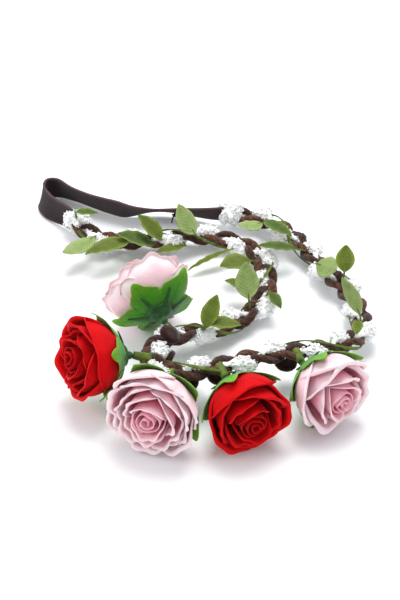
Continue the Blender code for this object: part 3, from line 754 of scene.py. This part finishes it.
def make_vine(band, materials):
    """A flat ribbon stem wound round the plait, with the short stems of the leaves and roses."""
    along = np.arange(VINE_START, band.length - VINE_START, 0.8 * MM)
    middle, _, side, upper = band.frames(along)
    turn = TAU * along / VINE_PITCH
    outward = side * np.sin(turn)[:, None] + upper * np.cos(turn)[:, None]
    centres = (middle + side * (VINE_ACROSS * np.sin(turn))[:, None]
               + upper * (VINE_UPRIGHT * np.cos(turn))[:, None])
    tangent = unit(np.gradient(centres, axis=0))
    across = unit(np.cross(tangent, outward))
    width = (1.2 + 0.35 * np.sin(along * TAU / (23 * MM))) * MM
    offset = np.linspace(-0.5, 0.5, 7)
    grid = (centres[:, None] + across[:, None] * (offset[None, :] * width[:, None])[..., None]
            - outward[:, None] * (np.abs(offset) * 0.5 * MM)[None, :, None])
    uv = paired(along[:, None], offset[None, :] * 2 * MM)
    parts = MeshParts()
    parts.sheet(grid, 0.4 * MM, uv, even(grid))
    for number in range(1, LEAF_COUNT + 1):
        base, forward, _, _, _, _ = leaf_place(f"leaf_{number:02d}")
        inside = band.at(band.nearest(base))[:3]
        stem, stem_uv = bent_stem(inside + (base - inside) * 0.25, base - forward * 1.6 * MM,
                                  base - forward * 0.1 * MM, 0.55 * MM, 0.40 * MM)
        parts.tube(stem, stem_uv, even(stem))
    for name in ROSES:
        turn_joint = JOINTS[name + "_turn"]
        axis, pivot = unit(np.array(turn_joint["axis"])), np.array(turn_joint["pos_m"])
        end = pivot - axis * ROSE_STEM_STOP
        start = band.at(band.nearest(pivot))[:3]
        stem, stem_uv = bent_stem(start, (start + end) / 2, end, 2.3 * MM, 1.6 * MM)
        parts.tube(stem, stem_uv, even(stem))
    finish_piece(parts.build("vine_stem", [materials["vine"]]), "band", "vine_green", "vine_ribbon")


def make_pad(band, rose, materials):
    """Felt disc with a soft rounded edge, pressed into the plait."""
    node = rose + "_felt_pad"
    cad = cad_points(node)
    middle = (cad.max(0) + cad.min(0)) / 2
    _, _, axes = np.linalg.svd(cad - cad.mean(0), full_matrices=False)
    normal = axes[2]
    reach = np.abs((cad - middle) @ normal).max()
    radius = np.linalg.norm(cad - middle, axis=1).max()
    inside = band.at(band.nearest(middle))[:3]
    middle = middle + unit(inside - middle) * PAD_SINK
    reach = reach + PAD_SINK / 2
    rings = []
    around = 48
    angles = np.arange(around) * TAU / around
    for degrees in np.linspace(-80.0, 80.0, 17):
        tilt = math.radians(degrees)
        if abs(degrees) < 60:
            girth = radius * (0.72 + 0.28 * math.cos(tilt))
        else:
            girth = radius * 0.9 * (1 - (abs(degrees) - 60) / 20.6)
        height = reach * math.sin(math.radians(max(-60.0, min(60.0, degrees)) * 1.5))
        girth = girth * (1.0 + 0.06 * np.cos(angles * 2 + 0.6))
        flat = axes[0] * (np.cos(angles) * girth)[:, None] + axes[1] * (np.sin(angles) * girth)[:, None]
        rings.append(middle + flat + normal * height)
    grid = np.array(rings)
    across = unit(grid - middle)
    grid = grid + across * (noise_field(grid, 0.9 * MM, 7.0) * 0.12 * MM)[..., None]
    uv = grid[..., :2]
    parts = MeshParts()
    parts.tube(grid, uv, even(grid))
    add_fuzz(parts, grid, across, PAD_FUZZ, 0.7 * MM, 0.06 * MM, 3)
    finish_piece(parts.build(rose + "_pad", [materials["felt"]]), "band", "felt_brown", node)


# ------------------------------------------------------------------------ leaves
def leaf_place(name):
    """Base, direction to the tip, side and upper face of a CAD leaf, with its length and width."""
    joint = JOINTS[name + "_flex"]
    base = np.array(joint["pos_m"])
    cad = cad_points(name)
    reach = np.linalg.norm(cad - base, axis=1)
    tip = cad[reach > reach.max() - 0.8 * MM].mean(0)
    side = np.array(joint["axis"])
    length = np.linalg.norm(tip - base)
    forward = unit(tip - base)
    side = unit(side - forward * side.dot(forward))
    upper = np.cross(forward, side)
    local = cad - base
    beside = np.abs(local @ side)
    rise = local @ upper
    blade = local @ forward > 0.3 * length
    if np.polyfit(beside[blade], rise[blade], 1)[0] < 0.0:
        upper, side = -upper, -side
    return base, forward, side, upper, length, 2.0 * beside.max()


def make_leaf(number, materials):
    name = f"leaf_{number:02d}"
    base, forward, side, upper, length, width = leaf_place(name)
    chooser = random.Random(number)
    blade_start = -0.6 * MM
    rows, columns = 30, 13
    share = np.linspace(0.0, 1.0, rows)
    along = blade_start + (length - blade_start) * share
    outline = np.sin(math.pi * share ** 0.82) ** 0.78
    half = np.maximum(width / 2 * outline * 1.08, 0.35 * MM * (1.0 - share))
    across = np.linspace(-1.0, 1.0, columns)
    bend = 0.10 * along * (1.0 - along / length)
    curl = chooser.uniform(-0.05, 0.05)
    beside = half[:, None] * across[None, :]
    fold = 0.20 * np.abs(beside) - 0.018 / MM * beside ** 2 * 0.5
    waves = np.sin(along[:, None] * TAU / (4.6 * MM) + chooser.uniform(0, 6))
    ripple = 0.18 * MM * waves * np.abs(across) ** 2
    slanted = along[:, None] - np.abs(beside) * 0.8
    vein = 0.07 * MM * np.cos(slanted * TAU / (1.7 * MM)) * (1 - np.abs(across)) ** 0.5
    crease = -0.16 * MM * np.exp(-(beside / (0.35 * MM)) ** 2)
    height = bend[:, None] + fold + ripple + vein + crease + curl * beside * share[:, None] * 2
    grid = base + forward * along[:, None, None] + side * beside[..., None] + upper * height[..., None]
    uv = np.stack([slanted, beside], axis=-1)
    tone = np.broadcast_to(np.abs(across), (rows, columns))
    parts = MeshParts()
    parts.sheet(grid, 0.28 * MM, uv, tone, slots=(1, 0))
    root = np.linspace(-1.4 * MM, 2.0 * MM, 10)
    centres = base + forward * root[:, None] + upper * (0.02 * root)[:, None]
    stem, _, stem_uv = tube_grid(centres, lambda ring, angle: (0.42 - 0.016 * ring) * MM, 8)
    parts.tube(stem, stem_uv, even(stem, 0.2), 2)
    top = materials["leaf_tops"][chooser.randrange(len(materials["leaf_tops"]))]
    leaf = parts.build(name + "_cloth", [top, materials["leaf_under"], materials["vine"]])
    finish_piece(leaf, name + "_blade", "leaf_green", name)


# ------------------------------------------------------------------------- roses
class Rose:
    """Axes and sizes of one rose, read from its joints and CAD petals."""

    COLLAR_OUTSIDE = 1.55 * MM     # collar to the middle of the outer petals
    HOLE = 1.65 * MM               # radius of the petals' hole round the peg

    def __init__(self, name):
        self.name = name
        turn = JOINTS[name + "_turn"]
        self.axis = unit(np.array(turn["axis"]))
        along = np.array(JOINTS[name + "_nod"]["axis"])
        self.first = unit(along - self.axis * along.dot(self.axis))
        self.second = np.cross(self.axis, self.first)
        self.pivot = np.array(turn["pos_m"])
        heights, radii = self.measure(name + "_outer_petals")
        self.radius = radii.max() - 0.3 * MM
        self.foot = heights.min() + 0.3 * MM
        self.height = heights[radii.argmax()] - self.foot
        heights, _ = self.measure(name + "_heart")
        self.top = heights.max()
        self.heart_foot = heights.min()

    def measure(self, node):
        cad = cad_points(node) - self.pivot
        heights = cad @ self.axis
        return heights, np.linalg.norm(cad - heights[:, None] * self.axis, axis=1)

    def place(self, radius, angle, height):
        """Points at these radii, angles round the axis and heights above the pivot."""
        return (self.pivot + self.first * (radius * np.cos(angle))[..., None]
                + self.second * (radius * np.sin(angle))[..., None] + self.axis * height[..., None])

    def shell(self, angle, outward):
        radius = (self.radius + outward) * np.sin(angle)
        return radius, self.foot + self.height - (self.height + outward) * np.cos(angle)


# count: petals in the layer; radius: its radius to the rose's; opening: of its bowl, in
# degrees; rim: height of its rim, 0 at the foot and 1 at the heart's top; span: of a petal
# round the axis, in degrees; roll: radius of the rolled lip in mm; curl: how far it rolls,
# in degrees; ruffle: depth of its waves in mm; point: how far its sides fall away
Layer = namedtuple("Layer", "count radius opening rim span roll curl ruffle point")
SMOOTH_RED = (
    Layer(3, 0.985, 103, 0.74, 166, 1.30, 130, 0.60, 0.05),
    Layer(3, 0.84, 101, 0.83, 160, 1.20, 120, 0.70, 0.06),
    Layer(3, 0.66, 98, 0.90, 150, 1.00, 110, 0.70, 0.06),
    Layer(2, 0.47, 95, 0.96, 205, 0.80, 100, 0.60, 0.03),
)
SMOOTH_PINK = (
    Layer(3, 0.985, 100, 0.72, 160, 1.50, 150, 0.60, 0.16),
    Layer(3, 0.83, 99, 0.82, 158, 1.40, 145, 0.80, 0.14),
    Layer(3, 0.64, 97, 0.90, 150, 1.10, 120, 0.70, 0.08),
    Layer(2, 0.45, 95, 0.97, 205, 0.80, 110, 0.50, 0.04),
)
RUFFLED_PINK = (
    Layer(4, 0.985, 98, 0.68, 130, 1.20, 120, 1.60, 0.04),
    Layer(4, 0.87, 98, 0.78, 128, 1.20, 120, 1.60, 0.04),
    Layer(4, 0.72, 96, 0.86, 124, 1.00, 110, 1.40, 0.04),
    Layer(3, 0.55, 95, 0.92, 150, 0.90, 110, 1.10, 0.04),
    Layer(2, 0.39, 93, 0.98, 205, 0.70, 100, 0.80, 0.02),
)
OUTER_LAYERS = 2
PETAL_LAYERS = {
    "back_pink": RUFFLED_PINK,
    "left_red": SMOOTH_RED,
    "front_pink": RUFFLED_PINK,
    "front_red": SMOOTH_RED,
    "right_pink": SMOOTH_PINK,
}


def petal_grid(rose, layer, turn, chooser):
    """One petal: a bowl-shaped blade whose rim is rolled outwards, ruffled and lower at its sides."""
    blade_rows, roll_rows, columns = 18, 13, 31
    across = np.linspace(-1.0, 1.0, columns)[None, :]
    radius = rose.radius * layer.radius * chooser.uniform(0.98, 1.0)
    opened = math.radians(layer.opening + chooser.uniform(-4.0, 4.0))
    rim = rose.foot + (rose.top - rose.foot) * (layer.rim + chooser.uniform(-0.05, 0.03))
    depth = (rim - rose.foot) / (1.0 - math.cos(opened))
    first = math.asin(rose.HOLE / radius)
    notch = 0.03 * np.exp(-((across - chooser.uniform(-0.4, 0.4)) / 0.16) ** 2)
    fall = 0.27 * np.abs(across) ** 3 + layer.point * np.abs(across) ** 1.2 + notch
    last = first + (opened - first) * (1.0 - fall)
    waves = np.sin(across * chooser.uniform(4.5, 7.0) + chooser.uniform(0.0, TAU))
    small = np.sin(across * chooser.uniform(11.0, 16.0) + chooser.uniform(0.0, TAU))

    up = np.linspace(0.0, 1.0, blade_rows)[:, None]
    angle = first + (last - first) * up
    girth = radius * np.sin(angle)
    height = rose.foot + depth * (1.0 - np.cos(angle))

    rise_out, rise_up = radius * np.cos(last), depth * np.sin(last)
    steep = np.hypot(rise_out, rise_up)
    rise_out, rise_up = rise_out / steep, rise_up / steep
    lip = layer.roll * MM * (0.35 + 0.65 * (1.0 - np.abs(across) ** 2.4)) * (1.0 + 0.18 * waves)
    curl = math.radians(layer.curl) * (1.0 + 0.15 * small * min(layer.ruffle, 1.0))
    bend = np.linspace(0.0, 1.0, roll_rows + 1)[1:, None] * curl
    roll_girth = girth[-1:] + lip * (np.sin(bend) * rise_out + (1.0 - np.cos(bend)) * rise_up)
    roll_height = height[-1:] + lip * (np.sin(bend) * rise_up - (1.0 - np.cos(bend)) * rise_out)

    girth = np.concatenate([girth, roll_girth])
    height = np.concatenate([height, roll_height])
    share = np.concatenate([up, np.ones((roll_rows, 1))])
    near_rim = smoothstep(share, 0.45, 1.0)
    girth = girth * (1.0 - PETAL_TUCK * smoothstep(across, -0.5, 1.0) * smoothstep(share, 0.1, 0.6))
    girth = girth + layer.ruffle * MM * near_rim * (0.45 * waves - 0.25 + 0.22 * small)
    height = height + layer.ruffle * MM * near_rim * (0.35 * small + 0.35 * waves)
    crease = 0.22 * MM * np.exp(-(across / 0.08) ** 2) * smoothstep(share, 0.1, 0.5) * (1.0 - near_rim)
    girth = np.minimum(girth - crease, rose.radius + LIP_REACH)
    heading = turn + across * math.radians(layer.span / 2) * (0.86 + 0.14 * smoothstep(share, 0.0, 0.5))
    grid = rose.place(girth, heading, height)

    lengths = np.concatenate([up * radius * opened, radius * opened + bend[:, :1] * layer.roll * MM])
    uv = paired(across * radius * math.radians(layer.span / 2), lengths)
    thin = np.maximum(share ** 3, np.abs(across) ** 4)
    thickness = (0.32 - 0.14 * thin) * MM
    # tone: darker below the rim, partly deeper dye at the foot and partly painted shade in the folds
    below_rim = np.maximum(height[blade_rows - 1:blade_rows] - height, 0.0)
    deepest = PALEST_FOOT * layer.radius ** 2
    tone = deepest + (1.0 - deepest) * (1.0 - smoothstep(below_rim, 0.0, DYE_AND_SHADE_DEPTH))
    # inner layers are darker all over: painted shade deep inside the rose
    tone = tone * (0.72 + 0.28 * layer.radius)
    return grid, thickness, uv, tone


def heart_grid(rose, chooser):
    """The innermost petal, rolled into a spiral of nearly three turns."""
    rows, columns = 16, 130
    up = np.linspace(0.0, 1.0, rows)[:, None]
    turn = np.linspace(0.0, TAU * 2.7, columns)[None, :]
    open_out = turn / turn.max()
    width = rose.radius * (0.035 + 0.25 * open_out)
    girth = width * (0.75 + 0.45 * np.sin(up * 2.0)) + 0.5 * MM * up ** 4
    waves = 0.45 * MM * np.sin(turn * 1.9 + 1.0) + 0.25 * MM * np.sin(turn * 4.3)
    rim = rose.top - rose.radius * 0.05 - 1.6 * MM * open_out ** 2 + 0.8 * MM * (1 - open_out)
    height = rose.heart_foot + (rim + waves - rose.heart_foot) * up
    grid = rose.place(girth, turn + chooser.uniform(0, 6) + 0.0 * up, height)
    uv = paired(turn * width.mean(), up * 14 * MM)
    # tone darker towards the heart's foot: partly deeper dye and partly painted shade deep in the spiral
    return grid, 0.26 * MM, uv, np.broadcast_to(0.15 + 0.5 * up, (rows, columns))


def make_rose_petals(rose, layers, material, slot, seed):
    chooser = random.Random(seed)
    outer, middle, heart = MeshParts(), MeshParts(), MeshParts()
    start = chooser.uniform(0.0, TAU)
    for number, layer in enumerate(layers):
        parts = outer if number < OUTER_LAYERS else middle
        start += TAU / layer.count * 0.5 + chooser.uniform(-0.15, 0.15)
        for index in range(layer.count):
            turn = start + TAU * index / layer.count + chooser.uniform(-0.08, 0.08)
            grid, thickness, uv, tone = petal_grid(rose, layer, turn, chooser)
            parts.sheet(grid, thickness, uv, tone)
    grid, thickness, uv, tone = heart_grid(rose, chooser)
    heart.sheet(grid, thickness, uv, tone)
    body = rose.name + "_flower"
    for suffix, parts in (("outer_petals", outer), ("middle_petals", middle), ("heart", heart)):
        piece = parts.build(f"{rose.name}_silk_{suffix}", [material])
        finish_piece(piece, body, slot, f"{rose.name}_{suffix}")


def make_collar(rose, material, seed):
    """Broad sepals with small teeth and cornered tips, over the outside of the petals."""
    chooser = random.Random(seed)
    rows, columns = 40, 21
    up = np.linspace(0.0, 1.0, rows)[:, None]
    across = np.linspace(-1.0, 1.0, columns)[None, :]
    at_back = rose.name == "back_pink"
    flare = BACK_FLARE if at_back else FRONT_FLARE
    sepal_tip = BACK_SEPAL_TIP if at_back else FRONT_SEPAL_TIP
    parts = MeshParts()
    for index in range(SEPALS):
        centre = TAU * index / SEPALS
        tip = math.radians(sepal_tip + chooser.uniform(-4.0, 3.0))
        first = math.asin(rose.HOLE / rose.radius)
        angle = first + (tip - first) * up
        corner = 1.0 - 0.12 * np.abs(across) ** 2 * smoothstep(up, 0.6, 1.0)
        broad = (0.55 + 0.45 * smoothstep(up, 0.12, 0.5)) * (1.0 - 0.66 * smoothstep(up, 0.62, 1.02))
        teeth = 1.0 + 0.09 * np.abs(np.sin(up * math.pi * 6.5)) * smoothstep(up, 0.3, 0.5)
        width = 7.6 * MM * broad * teeth
        lift = flare * smoothstep(up, 0.5, 1.0) ** 1.3 + 0.25 * MM * np.sin(up * 9.0 + index) * across
        cup = 0.3 * MM * np.cos(across * math.pi * 0.5)
        girth, height = rose.shell(angle * corner, rose.COLLAR_OUTSIDE + lift + cup)
        reach = np.minimum(width / np.maximum(girth, 1.0 * MM), TAU / SEPALS / 2 * 1.02)
        grid = rose.place(girth, centre + across * reach, height)
        vein = np.exp(-(across / 0.06) ** 2) * smoothstep(up, 0.1, 0.3)
        grid = grid + rose.axis * (0.25 * MM * np.abs(across) ** 2 * smoothstep(up, 0.2, 0.6))[..., None]
        grid = grid + rose.axis * (0.18 * MM * vein)[..., None]
        uv = paired(across * width, up * 20 * MM)
        tone = np.clip(up * 0.85 + 0.25 * np.abs(across) ** 3 * up - 0.15 * vein, 0.0, 1.0)
        parts.sheet(grid, 0.3 * MM, uv, tone)
    piece = parts.build(rose.name + "_sepals", [material])
    finish_piece(piece, rose.name + "_base", "collar_green", rose.name + "_leaf_collar")


def make_calyx(rose, material):
    """Moulded cup with six narrow spikes over the collar."""
    heights, _ = rose.measure(rose.name + "_calyx")
    parts = MeshParts()
    # radius and height above the pivot, in mm
    profile = [(0.2, heights.min() / MM), (1.2, -1.35), (1.75, -0.4), (1.7, 0.6), (2.0, 1.4),
               (3.3, 1.9), (4.6, 2.5)]
    outside = rose.COLLAR_OUTSIDE + 0.45 * MM
    for degrees in (16.0, 20.0):
        girth, height = rose.shell(math.radians(degrees), outside)
        profile.append((girth / MM, height / MM))
    girth, height = rose.shell(math.radians(15.0), outside - 0.25 * MM)
    profile.append((girth / MM, height / MM))
    profile.append((1.2, height / MM - 0.5))
    profile.append((1.15, rose.heart_foot / MM - 1.1))
    profile.append((0.3, rose.heart_foot / MM - 0.8))
    around = 28
    angles = np.arange(around)[None, :] * TAU / around
    profile = np.array(profile) * MM
    grid = rose.place(*np.broadcast_arrays(profile[:, :1], angles, profile[:, 1:]))
    parts.tube(grid, np.zeros((*grid.shape[:2], 2)), even(grid))
    rows, columns = 12, 5
    up = np.linspace(0.0, 1.0, rows)[:, None]
    across = np.linspace(-1.0, 1.0, columns)[None, :]
    for index in range(CALYX_SPIKES):
        centre = TAU * (index + 0.5) / CALYX_SPIKES
        angle = math.radians(16.0) + math.radians(24.0) * up
        girth, height = rose.shell(angle, outside + 0.35 * MM * (1 - across ** 2) + 0.5 * MM * up ** 3)
        width = 1.35 * MM * (1.0 - up) ** 0.8 + 0.08 * MM
        grid = rose.place(girth, centre + across * width / girth, height)
        parts.sheet(grid, 0.35 * MM, np.zeros((rows, columns, 2)), np.full((rows, columns), 0.5))
    piece = parts.build(rose.name + "_cup", [material])
    finish_piece(piece, rose.name + "_base", "plastic_green", rose.name + "_calyx")


# ------------------------------------------------------------------------- stage
def make_stage():
    half = FLOOR_HALF
    corners = [(-half, -half, 0), (half, -half, 0), (half, half, 0), (-half, half, 0)]
    mesh = bpy.data.meshes.new("floor")
    mesh.from_pydata(corners, [], [(0, 1, 2, 3)])
    floor = bpy.data.objects.new("floor", mesh)
    bpy.context.scene.collection.objects.link(floor)
    shader = Shader("white_sweep", 0.9, specular=0.1)
    shader.surface.inputs["Base Color"].default_value = (0.93, 0.94, 0.955, 1.0)
    mesh.materials.append(shader.material)


def make_light(name, location, size, power):
    """A round soft light that faces the object."""
    data = bpy.data.lights.new(name, "AREA")
    data.shape = "DISK"
    data.size = size
    data.energy = power
    light = bpy.data.objects.new(name, data)
    light.location = location
    light.rotation_mode = "QUATERNION"
    light.rotation_quaternion = (-Vector(location)).to_track_quat("-Z", "Y")
    bpy.context.scene.collection.objects.link(light)


def make_lights():
    world = bpy.data.worlds.new("studio")
    world.use_nodes = True
    background = world.node_tree.nodes["Background"]
    background.inputs["Color"].default_value = (0.96, 0.98, 1.0, 1.0)
    background.inputs["Strength"].default_value = 0.8
    bpy.context.scene.world = world
    make_light("top_softbox", (0.1, 0.5, 1.3), 0.9, 16.0)
    make_light("left_softbox", (-1.0, -0.3, 0.9), 0.6, 4.0)
    bpy.context.scene.view_settings.view_transform = "Standard"
    bpy.context.scene.view_settings.look = "None"


def make_materials():
    return {
        "russet": cord_material("russet_fibre", (0.035, 0.011, 0.006), (0.125, 0.046, 0.022),
                                (0.30, 0.145, 0.075)),
        "dark": cord_material("dark_fibre", (0.018, 0.005, 0.004), (0.060, 0.020, 0.012),
                              (0.17, 0.075, 0.042)),
        "lace": lace_material(),
        "elastic": elastic_material(),
        "felt": felt_material(),
        "vine": vine_material(),
        "thread": thread_material(),
        "leaf_under": leaf_material("leaf_underside", (0.20, 0.29, 0.08), (0.30, 0.39, 0.14),
                                    (0.33, 0.42, 0.16), (0.15, 0.24, 0.06), 0.75),
        "leaf_tops": [
            leaf_material("leaf_olive", (0.065, 0.10, 0.003), (0.12, 0.165, 0.005), (0.19, 0.25, 0.02),
                          (0.04, 0.08, 0.005), 0.6),
            leaf_material("leaf_deep", (0.030, 0.070, 0.004), (0.075, 0.13, 0.006), (0.14, 0.21, 0.02),
                          (0.10, 0.155, 0.015), 0.6),
        ],
        "petal_red": petal_material("red_silk", (0.22, 0.0, 0.002), (0.48, 0.0, 0.003), (0.66, 0.0005, 0.003),
                                    0.05, 0.03),
        "petal_pink": petal_material("pink_silk", (0.86, 0.19, 0.29), (0.95, 0.45, 0.54), (0.98, 0.78, 0.82),
                                     0.2, 0.1),
        "collar": collar_material(),
        "plastic": plastic_material(),
    }


def main():
    make_camera()
    materials = make_materials()
    band = Route(BAND_POINTS)
    make_elastic(Route(ELASTIC_POINTS), materials)
    make_brown_cord(band, "russet_cord", "brown_cord_russet", "cord_russet", 0.0, materials["russet"], 21)
    make_brown_cord(band, "dark_cord", "brown_cord_dark", "cord_dark", TAU / 3, materials["dark"], 22)
    make_lace(band, materials["lace"])
    make_wrap(band, "left_lace_wrap", "left_end_wrap", 2.0 * MM, materials, 31)
    make_wrap(band, "right_lace_wrap", "right_end_wrap", band.length - 2.0 * MM, materials, 32)
    make_knot(materials)
    make_vine(band, materials)
    for number in range(1, LEAF_COUNT + 1):
        make_leaf(number, materials)
    for number, name in enumerate(ROSES):
        rose = Rose(name)
        silk = "petal_red" if name.endswith("red") else "petal_pink"
        make_rose_petals(rose, PETAL_LAYERS[name], materials[silk], silk, FIRST_PETAL_SEED + number)
        make_collar(rose, materials["collar"], FIRST_COLLAR_SEED + number)
        make_calyx(rose, materials["plastic"])
        make_pad(band, name, materials)
    make_stage()
    make_lights()


main()
